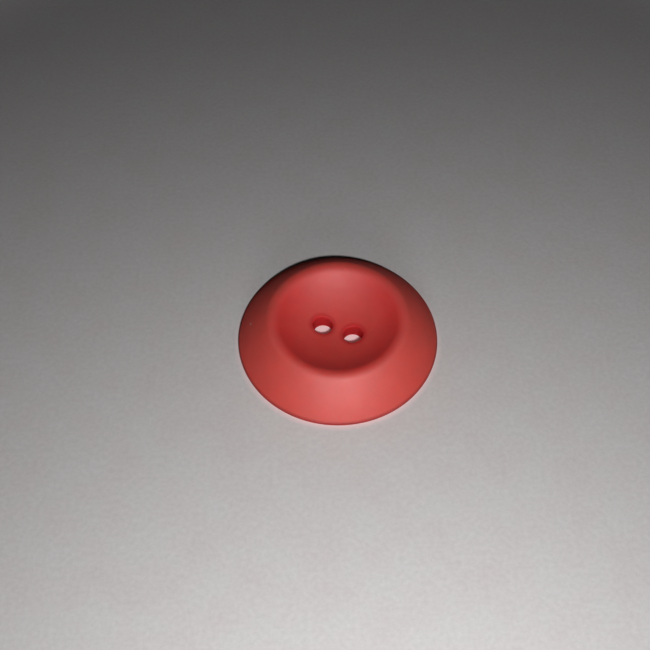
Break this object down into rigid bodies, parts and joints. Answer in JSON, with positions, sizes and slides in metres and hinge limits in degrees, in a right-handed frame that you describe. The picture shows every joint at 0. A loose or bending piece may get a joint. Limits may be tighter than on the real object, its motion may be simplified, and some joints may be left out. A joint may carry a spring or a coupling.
{
  "type": "sew-on button",
  "caption": "Round sew-through coat button with a steep flank, rolled crest, deep dish and a pair of round sewing holes.",
  "frame": {"origin": "centre of the flat back ring's plane, which the button rests on", "axes": "+Z out of the front, along the button's axis; the line of sewing holes lies in the XY plane, turned 21.2 degrees clockwise from +X as seen from the front"},
  "size_m": [0.034, 0.034, 0.0065],
  "materials": {
    "button_plastic": "semi-matte coral red plastic, slightly translucent"
  },
  "bodies": {
    "root": {"button_body": "button_plastic"}
  },
  "joints": []
}
